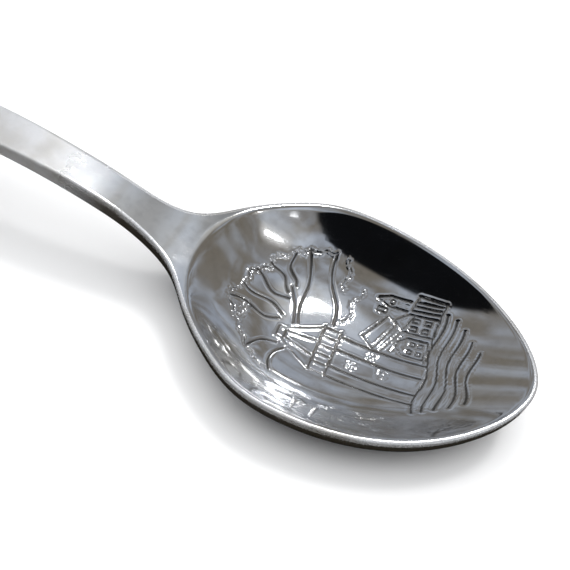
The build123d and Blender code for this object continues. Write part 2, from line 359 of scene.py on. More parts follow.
def town_lines():
    """Houses on the shore to the right of the tower, with a small spire among them."""
    lines = gable(1.5, -7.9, 2.0, 2.3, 1.3) + gable(4.1, -8.0, 1.9, 3.2, 1.2)
    lines += [np.array([(6.5, -8.0), (6.4, -4.9), (7.9, -5.2), (7.6, -7.9)])]
    lines += [np.array([(p, -7.9), (p, -5.2)]) for p in (6.9, 7.3)]
    lines += [np.array([(1.0, -2.5), (2.0, -1.0), (5.3, -2.8), (4.6, -3.9), (1.0, -2.5)])]
    lines += [np.array([(1.1, -3.4), (5.9, -5.4)]), np.array([(1.5, -4.6), (3.6, -5.0)])]
    lines += [np.array([(6.2, -4.5), (6.2, -2.2), (6.7, -0.9), (7.2, -2.2), (7.2, -4.5)])]
    lines += [arc_line((6.7, -2.6), 0.25, 0, 360), box_line(5.4, -2.4, 0.45, 1.1)]
    lines += [waved((0.9, -8.2), (7.6, -8.1), 0.06, 5)]
    return lines


def hill_lines():
    """Gullies that run down the hills behind the tower, from their foot to the skyline."""
    runs = [((1.7, 2.3), (8.7, 5.2)), ((0.1, 5.7), (7.8, 7.8)), ((3.8, 8.1), (6.6, 9.6)),
            ((3.1, 8.2), (4.7, 11.1)), ((1.9, 8.0), (2.6, 12.3)), ((0.3, 7.7), (0.8, 12.7)),
            ((-0.5, 7.9), (-1.6, 13.2))]
    lines = [waved(a, b, 0.30 if i % 2 else -0.34, 1.0, 0.08 * i) for i, (a, b) in enumerate(runs)]
    lines += [waved((-0.2, 6.3), (3.6, 8.2), -0.25, 0.5)]
    lines += [waved((-5.6, 9.2), (-3.3, 6.9), 0.55, 0.5), waved((-7.0, 6.1), (-3.5, 5.9), 0.75, 0.5)]
    return lines


def ragged_lines():
    """The hills' skyline, a bush, clouds and the tower's windows, which the die leaves frosted."""
    knots = [(9.0, 5.1), (8.1, 7.5), (7.0, 9.2), (5.0, 11.3), (4.2, 11.0), (2.3, 12.7),
             (0.6, 12.6), (-1.6, 13.6), (-2.8, 12.2), (-4.6, 10.5), (-6.1, 8.9), (-7.2, 7.0)]
    lines = [waved(a, b, 0.13, 1.5, 0.3 * i, 30) for i, (a, b) in enumerate(zip(knots, knots[1:]))]
    lines += [waved((6.0, 2.9), (8.9, 3.4), 0.30, 1.3), waved((2.5, 1.4), (6.6, 1.0), 0.28, 1.6, 0.3)]
    lines += [waved((-3.0, 11.5), (-0.9, 11.2), 0.33, 3.2)]
    lines += [box_line(p, q, 0.62, 0.75) for p, q in ((-0.4, -3.2), (-2.3, -1.6), (-2.0, -5.0))]
    return lines


def way_to_lines(p, q, lines, reach):
    """Distance from each point to the nearest line, no further than reach."""
    best = np.full(p.shape, reach)
    for line in lines:
        low, high = line.min(0) - reach, line.max(0) + reach
        near = np.flatnonzero((p > low[0]) & (p < high[0]) & (q > low[1]) & (q < high[1]))
        if not len(near):
            continue
        a, b = line[:-1], line[1:]
        span = b - a
        at_p, at_q = p[near, None] - a[:, 0], q[near, None] - a[:, 1]
        t = np.clip((at_p * span[:, 0] + at_q * span[:, 1]) / (span ** 2).sum(1), 0, 1)
        away = np.hypot(at_p - t * span[:, 0], at_q - t * span[:, 1]).min(1)
        best[near] = np.minimum(best[near], away)
    return best


def grain(p, q, cell, seed):
    """Smooth random heights from -1 to 1: random numbers on a square net, blended between its knots."""
    rng = np.random.default_rng(seed)
    net = rng.uniform(-1, 1, (256, 256))
    u, v = p / cell + 128, q / cell + 128
    i, j = np.floor(u).astype(int) % 255, np.floor(v).astype(int) % 255
    fu, fv = ease(u - np.floor(u)), ease(v - np.floor(v))
    low = net[i, j] * (1 - fu) + net[i + 1, j] * fu
    high = net[i, j + 1] * (1 - fu) + net[i + 1, j + 1] * fu
    return low * (1 - fv) + high * fv


def relief(x, y, depth):
    """Height of the struck picture over the smooth bowl, with its groove and frost masks.

    A groove's floor is (1 - t^2)^2 deep, t being the distance from its middle over its half width. A low
    round lip runs along each side, and grains stand along the ragged lines.
    """
    p, q = y, PICTURE_X - x
    wander = 0.03 * grain(p, q, 0.9, 3)
    town = way_to_lines(p, q, town_lines(), 1.2) + wander + THIN_LINE
    thin = np.minimum(town, way_to_lines(p, q, tower_lines(), 1.2) + wander + THIN_LINE)
    heavy = way_to_lines(p, q, hill_lines() + water_lines() + wall_lines(), 1.2) + wander
    ragged = way_to_lines(p, q, ragged_lines(), 1.2) + 2 * wander
    away = np.minimum(np.minimum(thin, heavy), ragged + RAGGED_LINE)
    groove = np.clip(1 - (away / GROOVE_HALF) ** 2, 0, 1) ** 2
    lip = np.exp(-((away - LIP_PLACE) / 0.07) ** 2)
    beads = np.exp(-(ragged / 0.30) ** 2) * np.clip(grain(p, q, 0.20, 5) + 0.15, 0, 1)
    speckle = np.exp(-(town / 0.28) ** 2) * np.clip(grain(p, q, 0.20, 7) - 0.05, 0, 1)
    height = depth * (-groove + 0.36 * lip + 0.95 * beads + 0.60 * speckle)
    frost = np.clip(1.2 * beads + 0.9 * speckle + 0.15 * lip, 0, 1)
    return height, groove, frost


# ---- mesh of the blank
def row_ways():
    """Ways along the edge at which the rows of the top and the underside begin."""
    end = EDGE_X < BADGE_X
    first = np.interp(0.75 * PAD_RADIUS, EDGE_Y[end], WAY[end])
    neck = np.interp(TIP - 1.15 * BOWL_LENGTH, EDGE_X[1200:], WAY[1200:])
    front = EDGE_X > TIP - 12
    last = np.interp(-TIP_ARC, -EDGE_Y[front], WAY[front])
    stem = np.linspace(first, neck, STEM_ROWS + 1)[:-1]
    return np.concatenate([stem, np.linspace(neck, last, BOWL_ROWS + 1)])


ROW_WAYS = row_ways()
ROWS = len(ROW_WAYS) - 1


def lattice(row, column):
    """Places in plan of the net that covers the spoon: rows 0 to ROWS, columns 0 to COLUMNS.

    A row joins two opposite points of the edge. It is straight along the stem and bends more and more
    into the shape of the edge towards the tip and the pad's far end, where it lies on the edge.
    """
    way = np.interp(row, np.arange(ROWS + 1), ROW_WAYS)
    side_x, side_y = inset(way, RIM_LAND)
    share = 2 * column / COLUMNS - 1
    y = share * side_y
    x_in, y_in = inset(WAY, RIM_LAND)
    front = x_in > TIP - 0.5 * BOWL_LENGTH
    tip_x = np.interp(-np.abs(y), -y_in[front], x_in[front])
    end = x_in < BADGE_X
    end_x = np.interp(np.abs(y), y_in[end], x_in[end])
    first_x, last_x = inset(ROW_WAYS[[0, -1]], RIM_LAND)[0]
    to_tip = ease((side_x - (TIP - 0.46 * BOWL_LENGTH)) / (last_x - TIP + 0.46 * BOWL_LENGTH))
    to_end = ease((BADGE_X - 1 - side_x) / (BADGE_X - 1 - first_x))
    x = side_x + to_tip * (tip_x - side_x) - to_end * (side_x - end_x)
    return x, y


def rim_of_net():
    """Rows, columns, ways and sides of the net's outer line, anticlockwise seen from above."""
    rows, columns = np.arange(ROWS + 1), np.arange(COLUMNS + 1)
    row = np.concatenate([rows, np.full(COLUMNS - 1, ROWS), rows[::-1], np.full(COLUMNS - 1, 0)])
    column = np.concatenate([np.zeros(ROWS + 1), columns[1:-1],
                             np.full(ROWS + 1, COLUMNS), columns[-2:0:-1]])
    column = column.astype(int)
    x_in, y_in = inset(WAY, RIM_LAND)
    y = np.abs(lattice(row.astype(float), column.astype(float))[1])
    front = x_in > TIP - 12
    end = x_in < BADGE_X
    way = ROW_WAYS[row]
    at_tip = (row == ROWS) & (column > 0) & (column < COLUMNS)
    at_end = (row == 0) & (column > 0) & (column < COLUMNS)
    way = np.where(at_tip, np.interp(-y, -y_in[front], WAY[front]), way)
    way = np.where(at_end, np.interp(y, y_in[end], WAY[end]), way)
    side = np.sign(2 * column - COLUMNS)
    return row, column, way, side


def bend(start, corner, finish, steps):
    """Points on a curve from start to finish that is drawn towards a corner, start left out."""
    t = (np.arange(1, steps + 1) / steps)[:, None]
    return (1 - t) ** 2 * start + 2 * t * (1 - t) * corner + t * t * finish


def edge_rings(way, round_size):
    """Rings round the spoon from the inner line of its rim, over the round and down to the underside.

    Each ring is a depth inside the plan's edge and a height. The two arrays have a row for each ring.
    """
    def top(depth):
        x, y = inset(way, depth)
        return top_surface(x, y)

    def under(depth):
        x, y = inset(way, depth)
        return under_surface(x, y)

    upper, lower = top(0), under(0)
    lower_round = np.minimum(round_size, 0.25 * (upper - lower))
    flat = np.ones_like(way)
    depths = [0.75 * RIM_LAND * flat, round_size * flat]
    heights = [top(0.75 * RIM_LAND), top(round_size)]
    depths += list(bend(round_size * flat, 0 * flat, 0 * flat, 5))
    heights += list(bend(top(round_size), upper, upper - round_size, 5))
    drop = (np.arange(1, 5) / 4)[:, None]
    depths += [0 * flat] * 4
    heights += list(upper - round_size + drop * (lower + lower_round - upper + round_size))
    depths += list(bend(0 * flat, 0 * flat, round_size * flat, 4))
    heights += list(bend(lower + lower_round, lower, under(round_size), 4))
    return np.array(depths), np.array(heights)


def net_polygons(fine):
    """Faces of a net whose marked cells are cut into REFINE x REFINE, on the fine net's numbering."""
    k = REFINE
    wide = COLUMNS * k + 1
    marked = np.pad(fine, 1)
    groups = []
    step = np.arange(k)
    row, column = (c.ravel() for c in np.nonzero(fine))
    i = (row[:, None, None] * k + step[:, None] + 0 * step).reshape(-1)
    j = (column[:, None, None] * k + 0 * step[:, None] + step).reshape(-1)
    groups.append(np.stack([i * wide + j, (i + 1) * wide + j, (i + 1) * wide + j + 1, i * wide + j + 1], 1))
    for code in range(16):
        cut = [bool(code & bit) for bit in (1, 2, 4, 8)]
        match = ~fine
        for flag, (di, dj) in zip(cut, ((1, 0), (2, 1), (1, 2), (0, 1))):
            match = match & (marked[di:di + ROWS, dj:dj + COLUMNS] == flag)
        row, column = np.nonzero(match)
        if not len(row):
            continue
        i, j = row[:, None] * k, column[:, None] * k
        sides = [(step, 0 * step), (k + 0 * step, step), (k - step, k + 0 * step), (0 * step, k - step)]
        faces = [(i + a[:k if flag else 1]) * wide + j + b[:k if flag else 1]
                 for flag, (a, b) in zip(cut, sides)]
        groups.append(np.hstack(faces))
    return groups


def blank_mesh(sizes):
    """Closed mesh of the spoon: top net with the picture, rings round the edge, underside net."""
    k = REFINE
    rows, columns = np.meshgrid(np.arange(ROWS) + 0.5, np.arange(COLUMNS) + 0.5, indexing="ij")
    x, y = lattice(rows, columns)
    half = np.sqrt(np.clip(squared_width(x, RIM_LAND), 0, None))
    q = PICTURE_X - x
    fine = np.abs(y) < np.minimum(half - PICTURE_EDGE, PICTURE_HALF)
    fine = fine & (q > PICTURE_FOOT) & (q < PICTURE_TOP)
    fine[:2], fine[-2:], fine[:, :2], fine[:, -2:] = False, False, False, False
    groups = net_polygons(fine)

    wide = COLUMNS * k + 1
    used = np.unique(np.concatenate([g.ravel() for g in groups]))
    x, y = lattice(used // wide / k, used % wide / k)
    height, groove, frost = relief(x, y, sizes.groove_depth / MM)
    p, q = y, PICTURE_X - x
    half = np.sqrt(np.clip(squared_width(x, RIM_LAND), 0, None))
    room = np.minimum(half - PICTURE_EDGE, PICTURE_HALF) - np.abs(p)
    inside = ease(np.minimum(np.minimum(room, PICTURE_TOP - q), q - PICTURE_FOOT) / FADE)
    top = np.stack([x, y, top_surface(x, y) + height * inside], 1)
    place = np.full((ROWS * k + 1) * wide, -1)
    place[used] = np.arange(len(used))
    groups = [place[g] for g in groups]

    row, column, way, side = rim_of_net()
    loop = place[row * k * wide + column * k]
    depths, heights = edge_rings(way, sizes.edge_round / MM)
    rings = []
    for depth, z in zip(depths, heights):
        ring_x, ring_y = inset(way, depth)
        rings.append(np.stack([ring_x, side * ring_y, z], 1))
    count = len(loop)
    ring_ids = [loop] + [len(top) + n * count + np.arange(count) for n in range(len(rings))]

    rows, columns = np.meshgrid(np.arange(ROWS + 1), np.arange(COLUMNS + 1), indexing="ij")
    x, y = lattice(rows.astype(float).ravel(), columns.astype(float).ravel())
    under = np.stack([x, y, under_surface(x, y)], 1)
    under_start = len(top) + len(rings) * count
    number = under_start + np.arange(len(under)).reshape(rows.shape)
    ring_ids.append(number[row, column])
    for inner, outer in zip(ring_ids, ring_ids[1:]):
        groups.append(np.stack([outer, np.roll(outer, -1), np.roll(inner, -1), inner], 1))
    cells = [number[:-1, :-1], number[:-1, 1:], number[1:, 1:], number[1:, :-1]]
    groups.append(np.stack(cells, -1).reshape(-1, 4))

    points = np.vstack([top, *rings, under])
    points = np.clip(points, BLANK_LOW, BLANK_HIGH)
    masks = {name: np.zeros(len(points)) for name in ("groove", "frost", "handled_and_sheen")}
    # Handled mask: where fingers dulled the metal, and where the stem and rim take a painted highlight
    # through the shader.
    masks["handled_and_sheen"] = ease((TIP - HANDLED_AND_SHEEN_FROM - points[:, 0]) / HANDLED_AND_SHEEN_OVER)
    rim = len(top) + np.arange(count, RIM_RINGS * count)
    masks["handled_and_sheen"][rim] = np.maximum(masks["handled_and_sheen"][rim], RIM_WEAR_AND_SHEEN)
    masks["groove"][:len(top)] = groove * inside
    masks["frost"][:len(top)] = frost * inside
    return points, groups, masks


def new_piece(name, points, groups, material, slot, masks=None):
    """A mesh object from points in millimetres and groups of faces, riding with the spoon."""
    mesh = bpy.data.meshes.new(name)
    mesh.from_pydata((points * MM).tolist(), [], [face for group in groups for face in group.tolist()])
    mesh.shade_smooth()
    for mask, values in (masks or {}).items():
        layer = mesh.attributes.new(mask, "FLOAT", "POINT")
        layer.data.foreach_set("value", values.astype(np.float32))
    if mesh.validate():
        raise RuntimeError(name + " has faces that Blender had to mend")
    piece = bpy.data.objects.new(name, mesh)
    bpy.context.scene.collection.objects.link(piece)
    mesh.materials.append(material)
    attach(piece, "root")
    return piece


# ---- badge surfaces
def badge_to_frame(points):
    """Turns points over the pad, with z along the badge's axis, into the model's frame."""
    across, along, up = points.T
    s, c = math.sin(PAD_SLOPE), math.cos(PAD_SLOPE)
    return np.stack([BADGE_X - along * c - up * s, across, BADGE_Z - along * s + up * c], 1)


def turned(profile, steps):
    """Surface of revolution: a profile of (radius, height) whose first and last points lie on the axis."""
    profile = np.array(profile, float)
    turn = np.linspace(0, 2 * math.pi, steps, endpoint=False)
    body = profile[1:-1]
    ring = np.stack([body[:, :1] * np.cos(turn), body[:, :1] * np.sin(turn), body[:, 1:] + 0 * turn], -1)
    points = np.vstack([ring.reshape(-1, 3), [0, 0, profile[0, 1]], [0, 0, profile[-1, 1]]])
    number = np.arange(len(body) * steps).reshape(len(body), steps)
    nxt = np.roll(number, -1, axis=1)
    quads = np.stack([number[:-1], nxt[:-1], nxt[1:], number[1:]], -1).reshape(-1, 4)
    first, last = len(number.ravel()), len(number.ravel()) + 1
    start = np.stack([nxt[0], number[0], np.full(steps, first)], 1)
    finish = np.stack([number[-1], nxt[-1], np.full(steps, last)], 1)
    return points, [quads, start, finish]


def softened(corners_list, radius, steps=4):
    """A profile through some corners, each inner one rounded off."""
    pts = np.array(corners_list, float)
    line = [pts[0]]
    for before, corner, after in zip(pts, pts[1:], pts[2:]):
        back, on = before - corner, after - corner
        cut = min(radius, 0.45 * np.linalg.norm(back), 0.45 * np.linalg.norm(on))
        start = corner + back / np.linalg.norm(back) * cut
        finish = corner + on / np.linalg.norm(on) * cut
        line += [start, *bend(start, corner, finish, steps)]
    line.append(pts[-1])
    return np.array(line)


# ---- sizes of the badge, mm
CUP_FLOOR = 0.8
CUP_WALL = 1.1
CUP_BORE = BADGE_RADIUS - CUP_WALL
CUP_ROUND = 0.3             # of the cup's outer corners
BORE_ROUND = 0.1            # of the corners inside it
BEAD_COUNT = 44
BEAD_RADIUS = 0.45
PLAQUE_TOP = 1.75
DOME_EDGE = 0.15
DOME_RISE = 0.65
DOME_SINK = 0.02            # the resin wets the enamel, so its underside lies just inside it
STEPS_PER_BEAD = 12


def cup_mesh():
    """The round cup, with its border of beads.

    A softened profile is turned about the badge's axis. The top of the wall then rises to half a ball
    wherever the distance d to the nearest bead's centre is under its radius, by sqrt(radius^2 - d^2).
    """
    across = np.linspace(BADGE_RADIUS - 0.06, CUP_BORE + 0.06, 15)
    shell = [(0, 0), (BADGE_RADIUS, 0), (BADGE_RADIUS, BADGE_HEIGHT), (across[0], BADGE_HEIGHT)]
    outside = softened(shell, CUP_ROUND)
    outside = np.vstack([outside[:1], [(0.6 * BADGE_RADIUS, 0)], outside[1:-1]])
    top = np.stack([across, 0 * across + BADGE_HEIGHT], 1)
    inside = softened([(CUP_BORE, BADGE_HEIGHT), (CUP_BORE, CUP_FLOOR), (0, CUP_FLOOR)], BORE_ROUND)
    points, groups = turned(np.vstack([outside, top, inside]), BEAD_COUNT * STEPS_PER_BEAD)
    radius, turn = np.hypot(points[:, 0], points[:, 1]), np.arctan2(points[:, 1], points[:, 0])
    pitch = 2 * math.pi / BEAD_COUNT
    ring = BADGE_RADIUS - CUP_WALL / 2
    off = (turn + pitch / 2) % pitch - pitch / 2
    away = np.hypot(radius - ring, ring * off)
    on_top = (points[:, 2] > BADGE_HEIGHT - 0.001) & (radius > CUP_BORE)
    points[:, 2] += on_top * np.sqrt(np.clip(BEAD_RADIUS ** 2 - away ** 2, 0, None))
    return badge_to_frame(points), groups


def dome_mesh():
    """The clear dome: flat below, and above it a slice of a large ball, turned about the badge's axis."""
    edge = PLAQUE_TOP + DOME_EDGE
    ball = (CUP_BORE ** 2 + DOME_RISE ** 2) / (2 * DOME_RISE)
    radius = np.linspace(CUP_BORE, 0, 26)
    crown = np.stack([radius, edge + DOME_RISE - ball + np.sqrt(ball ** 2 - radius ** 2)], 1)
    low = PLAQUE_TOP - DOME_SINK
    points, groups = turned(np.vstack([[(0, low), (0.5 * CUP_BORE, low), (CUP_BORE, low)], crown]), 160)
    return badge_to_frame(points), groups


# ---- materials
SILVER_BUMP = 0.02 * MM
ENAMEL_BUMP = 0.01 * MM


def add(tree, kind, inputs=None, **settings):
    """A node with its settings made, and its inputs set or linked by name."""
    made = tree.nodes.new("ShaderNode" + kind)
    for name, value in settings.items():
        setattr(made, name, value)
    for name, value in (inputs or {}).items():
        socket = made.inputs[name]
        if isinstance(value, bpy.types.NodeSocket):
            tree.links.new(value, socket)
        else:
            socket.default_value = value
    return made


def sums(tree, operation, first, second, clamp=False):
    return add(tree, "Math", {0: first, 1: second}, operation=operation, use_clamp=clamp).outputs[0]


def between(tree, value, low, high, to_low=0.0, to_high=1.0):
    """Value from low to high, carried smoothly onto to_low to to_high."""
    inputs = {"Value": value, "From Min": low, "From Max": high, "To Min": to_low, "To Max": to_high}
    return add(tree, "MapRange", inputs, interpolation_type="SMOOTHSTEP").outputs["Result"]


def blended(tree, share, first, second):
    """A colour between two, by a share."""
    mix = add(tree, "Mix", data_type="RGBA")
    for socket, value in ((mix.inputs["Factor"], share), (mix.inputs[6], first), (mix.inputs[7], second)):
        if isinstance(value, bpy.types.NodeSocket):
            tree.links.new(value, socket)
        else:
            socket.default_value = value
    return mix.outputs[2]


def noise(tree, place, scale, detail=3.0, turn=0.0, stretch=(1, 1, 1)):
    """Noise whose features are 1 / scale millimetres, turned about Z and stretched."""
    inputs = {"Vector": place, "Rotation": (0, 0, math.radians(turn)), "Scale": stretch}
    at = add(tree, "Mapping", inputs).outputs[0]
    return add(tree, "TexNoise", {"Vector": at, "Scale": scale, "Detail": detail}).outputs["Fac"]


def new_group(name, inputs, outputs):
    """An empty node group with named sockets, and its input and output nodes."""
    tree = bpy.data.node_groups.new(name, "ShaderNodeTree")
    for side, sockets in (("INPUT", inputs), ("OUTPUT", outputs)):
        for socket, kind in sockets.items():
            tree.interface.new_socket(socket, in_out=side, socket_type="NodeSocket" + kind)
    return tree, tree.nodes.new("NodeGroupInput"), tree.nodes.new("NodeGroupOutput")


def in_millimetres(tree):
    place = add(tree, "TexCoord").outputs["Object"]
    return add(tree, "Mapping", {"Vector": place, "Scale": (1000, 1000, 1000)}).outputs[0]


def worn_silver():
    """Polished silver plate that has been handled: cloudy tone, hairlines, smears and small dents, with a
    painted highlight where it is handled.

    Groove masks the struck lines, where dark tarnish stays. Frost masks the die's matt grains, and
    Handled the metal that fingers have dulled. Where Handled is set the metal is also made partly matt,
    a painted highlight: the overhead light, which the silver doesn't mirror, shows on it as a white sheen.
    """
    tree, given, out = new_group(
        "worn_silver",
        {"Silver": "Color", "Tarnish": "Color", "Dark": "Color", "Gloss": "Float", "Groove": "Float",
         "Frost": "Float", "Handled_and_sheen": "Float"},
        {"Color": "Color", "Roughness": "Float", "Metal": "Float", "Height": "Float"})
    at = in_millimetres(tree)
    cloud = between(tree, noise(tree, at, 0.16, 4), 0.42, 0.72)
    fine_cloud = between(tree, noise(tree, at, 0.9, 5), 0.40, 0.75)
    aged = sums(tree, "MULTIPLY", cloud, 0.55)
    tone = blended(tree, aged, given.outputs["Silver"], given.outputs["Tarnish"])
    dirt = sums(tree, "MULTIPLY", fine_cloud, 0.10)
    tone = blended(tree, dirt, tone, given.outputs["Dark"])
    lines = [between(tree, noise(tree, at, 1.0, 2, turn, (0.05, reach, 3)), 0.66, 0.74)
             for turn, reach in ((12, 7.0), (-33, 9.0), (71, 8.0))]
    hairs = sums(tree, "MAXIMUM", sums(tree, "MAXIMUM", lines[0], lines[1]), lines[2])
    smear = between(tree, noise(tree, at, 0.33, 4, 20, (0.5, 1.4, 1)), 0.45, 0.80)
    rough = sums(tree, "ADD", given.outputs["Gloss"], sums(tree, "MULTIPLY", smear, 0.07))
    rough = sums(tree, "ADD", rough, sums(tree, "MULTIPLY", hairs, 0.05))
    satin = sums(tree, "MULTIPLY", given.outputs["Handled_and_sheen"], between(tree, fine_cloud, 0, 1, 0.24, 0.34))
    rough = sums(tree, "ADD", rough, satin)
    groove = between(tree, given.outputs["Groove"], 0.10, 0.80)
    rough = sums(tree, "ADD", rough, sums(tree, "MULTIPLY", groove, 0.30))
    rough = sums(tree, "ADD", rough, sums(tree, "MULTIPLY", given.outputs["Frost"], 0.34), clamp=True)
    tone = blended(tree, sums(tree, "MULTIPLY", groove, 0.85), tone, given.outputs["Dark"])
    tree.links.new(tone, out.inputs["Color"])
    tree.links.new(rough, out.inputs["Roughness"])
    # Painted highlight: where handled, the metal is made partly matt, so the overhead light, which the
    # silver doesn't mirror, whitens it like a bright reflection.
    painted_sheen = sums(tree, "MULTIPLY", given.outputs["Handled_and_sheen"], between(tree, cloud, 0, 1, 0.38, 0.24))
    tree.links.new(sums(tree, "SUBTRACT", 1.0, painted_sheen), out.inputs["Metal"])
    wave = sums(tree, "MULTIPLY", noise(tree, at, 0.30, 1), 0.25)
    dents = sums(tree, "MULTIPLY", noise(tree, at, 1.1, 1), 0.02)
    height = sums(tree, "ADD", wave, dents)
    height = sums(tree, "SUBTRACT", height, sums(tree, "MULTIPLY", hairs, 0.006))
    grains = sums(tree, "MULTIPLY", noise(tree, at, 7.0, 3), given.outputs["Frost"])
    height = sums(tree, "ADD", height, sums(tree, "MULTIPLY", grains, 0.45))
    tree.links.new(height, out.inputs["Height"])
    return tree


def fired_enamel():
    """Glassy enamel: a cloudy colour with darker edges of mottling, pinholes and a slow ripple."""
    tree, given, out = new_group("fired_enamel", {"Enamel": "Color", "Shade": "Color"},
                                 {"Color": "Color", "Roughness": "Float", "Height": "Float"})
    at = in_millimetres(tree)
    cloud = between(tree, noise(tree, at, 0.8, 4), 0.35, 0.75)
    holes = add(tree, "TexVoronoi", {"Vector": at, "Scale": 2.2}).outputs["Distance"]
    holes = between(tree, holes, 0.05, 0.10, 1.0, 0.0)
    clouded = sums(tree, "MULTIPLY", cloud, 0.5)
    colour = blended(tree, clouded, given.outputs["Enamel"], given.outputs["Shade"])
    colour = blended(tree, sums(tree, "MULTIPLY", holes, 0.5), colour, given.outputs["Shade"])
    tree.links.new(colour, out.inputs["Color"])
    tree.links.new(between(tree, noise(tree, at, 1.7, 3), 0.3, 0.8, 0.10, 0.24), out.inputs["Roughness"])
    ripple = sums(tree, "SUBTRACT", noise(tree, at, 0.9, 1), sums(tree, "MULTIPLY", holes, 0.3))
    tree.links.new(ripple, out.inputs["Height"])
    return tree


def group_of(maker):
    return bpy.data.node_groups.get(maker.__name__) or maker()


def new_material(name):
    """A material with an empty tree, its shader and output joined."""
    material = bpy.data.materials.new(name)
    material.use_nodes = True
    tree = material.node_tree
    tree.nodes.clear()
    shader = add(tree, "BsdfPrincipled")
    tree.links.new(shader.outputs["BSDF"], add(tree, "OutputMaterial").inputs["Surface"])
    return material, tree, shader


def surface_from(tree, shader, group, relief_height):
    """Links a group's colour, roughness and height to the shader."""
    tree.links.new(group.outputs["Color"], shader.inputs["Base Color"])
    tree.links.new(group.outputs["Roughness"], shader.inputs["Roughness"])
    bump = add(tree, "Bump", {"Height": group.outputs["Height"], "Distance": relief_height, "Strength": 1.0})
    tree.links.new(bump.outputs["Normal"], shader.inputs["Normal"])


def silver_material(name, finish, struck):
    """Silver for one piece. The struck one reads the masks that its mesh carries."""
    material, tree, shader = new_material(name)
    group = add(tree, "Group", node_tree=group_of(worn_silver))
    for socket, value in (("Silver", finish.silver), ("Tarnish", finish.tarnish), ("Dark", finish.oxide)):
        group.inputs[socket].default_value = (*value, 1)
    group.inputs["Gloss"].default_value = finish.gloss
    if struck:
        for socket in ("Groove", "Frost", "Handled_and_sheen"):
            mask = add(tree, "Attribute", attribute_name=socket.lower()).outputs["Fac"]
            tree.links.new(mask, group.inputs[socket])
        tree.links.new(group.outputs["Metal"], shader.inputs["Metallic"])
    else:
        shader.inputs["Metallic"].default_value = 1.0
    surface_from(tree, shader, group, SILVER_BUMP)
    return material


def enamel_material(name, colour):
    material, tree, shader = new_material(name)
    group = add(tree, "Group", node_tree=group_of(fired_enamel))
    group.inputs["Enamel"].default_value = (*colour, 1)
    group.inputs["Shade"].default_value = (*(0.62 * c for c in colour), 1)
    shader.inputs["Coat Weight"].default_value = 0.6
    shader.inputs["Coat Roughness"].default_value = 0.05
    surface_from(tree, shader, group, ENAMEL_BUMP)
    return material


def resin_material():
    """Clear poured resin, faintly yellow and lightly scuffed."""
    material, tree, shader = new_material("clear_resin")
    at = in_millimetres(tree)
    cloud = noise(tree, at, 0.4, 3)
    colour = blended(tree, cloud, (0.99, 0.985, 0.96, 1), (0.95, 0.94, 0.88, 1))
    tree.links.new(colour, shader.inputs["Base Color"])
    scuffs = between(tree, noise(tree, at, 1.0, 2, 35, (0.1, 6, 1)), 0.62, 0.75, 0.02, 0.12)
    tree.links.new(scuffs, shader.inputs["Roughness"])
    shader.inputs["Transmission Weight"].default_value = 1.0
    shader.inputs["IOR"].default_value = 1.49
    return material


# ---- settings a user can change
def length(name, description, default, high):
    return FloatProperty(name=name, description=description, default=default, min=0, max=high,
                         precision=5, subtype="DISTANCE", unit="LENGTH")


def colour(name, description, default):
    return FloatVectorProperty(name=name, description=description, default=default, size=3, min=0, max=1,
                               subtype="COLOR")


class SpoonSizes(bpy.types.PropertyGroup):
    """Sizes of the struck detail."""
    groove_depth: length("Groove depth", "Depth of the lines struck into the bowl", 0.00010, 0.0003)
    edge_round: length("Edge round", "Radius to which the blank's edges are polished", 0.0004, 0.00045)


class SpoonFinish(bpy.types.PropertyGroup):
    """Colours and gloss of the silver plate."""
    silver: colour("Silver", "Bright plate", (0.90, 0.91, 0.93))
    tarnish: colour("Tarnish", "Plate that has yellowed a little", (0.74, 0.70, 0.62))
    oxide: colour("Oxide", "Dark tarnish in the struck lines", (0.07, 0.06, 0.045))
    gloss: FloatProperty(name="Roughness", description="Roughness of clean plate", default=0.07,
                         min=0, max=1)


class BadgeColours(bpy.types.PropertyGroup):
    """Colours of the enamels."""
    sky: colour("Sky", "Light blue enamel", (0.22, 0.47, 0.72))
    sun: colour("Sun", "Yellow enamel", (0.90, 0.62, 0.06))
    snow: colour("Snow and sails", "White enamel", (0.82, 0.82, 0.79))
    hills: colour("Hills", "Green enamel", (0.07, 0.30, 0.10))
    lake: colour("Lake", "Dark blue enamel", (0.02, 0.09, 0.34))
    hull: colour("Hull", "Red enamel", (0.55, 0.03, 0.02))


class StageSettings(bpy.types.PropertyGroup):
    """Floor and light."""
    floor: colour("Floor", "Pale floor", (0.90, 0.90, 0.90))
    room: FloatProperty(name="Room", description="Brightness of the dim room", default=1.0, min=0, max=5)
    lamps: FloatProperty(name="Lamps", description="Brightness of the soft lamps", default=1.0, min=0, max=5)


# ---- operators
class SPOON_OT_blank(bpy.types.Operator):
    """Builds the struck and polished spoon, with the picture in its bowl"""
    bl_idname = "souvenir.blank"
    bl_label = "Spoon"

    def execute(self, context):
        points, groups, masks = blank_mesh(context.scene.spoon_sizes)
        material = silver_material("silver_plate", context.scene.spoon_finish, True)
        piece = new_piece("spoon", points, groups, material, "silver_plate", masks)
        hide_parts("spoon_blank")
        return {"FINISHED"}


class SPOON_OT_badge(bpy.types.Operator):
    """Builds the badge's beaded cup and its clear dome"""
    bl_idname = "souvenir.badge"
    bl_label = "Badge cup and dome"

    def execute(self, context):
        silver = silver_material("badge_silver", context.scene.spoon_finish, False)
        cup = new_piece("beaded_cup", *cup_mesh(), silver, "badge_silver")
        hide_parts("badge_cup")
        dome = new_piece("resin_dome", *dome_mesh(), resin_material(), "clear_resin")
        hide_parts("clear_dome")
        put_on("badge_plaque", silver)
        return {"FINISHED"}


def put_on(node, material):
    """Gives a CAD node a material in every one of its slots."""
    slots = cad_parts[node].material_slots
    if not slots:
        raise RuntimeError(node + " has no material slot")
    for slot in slots:
        slot.material = material


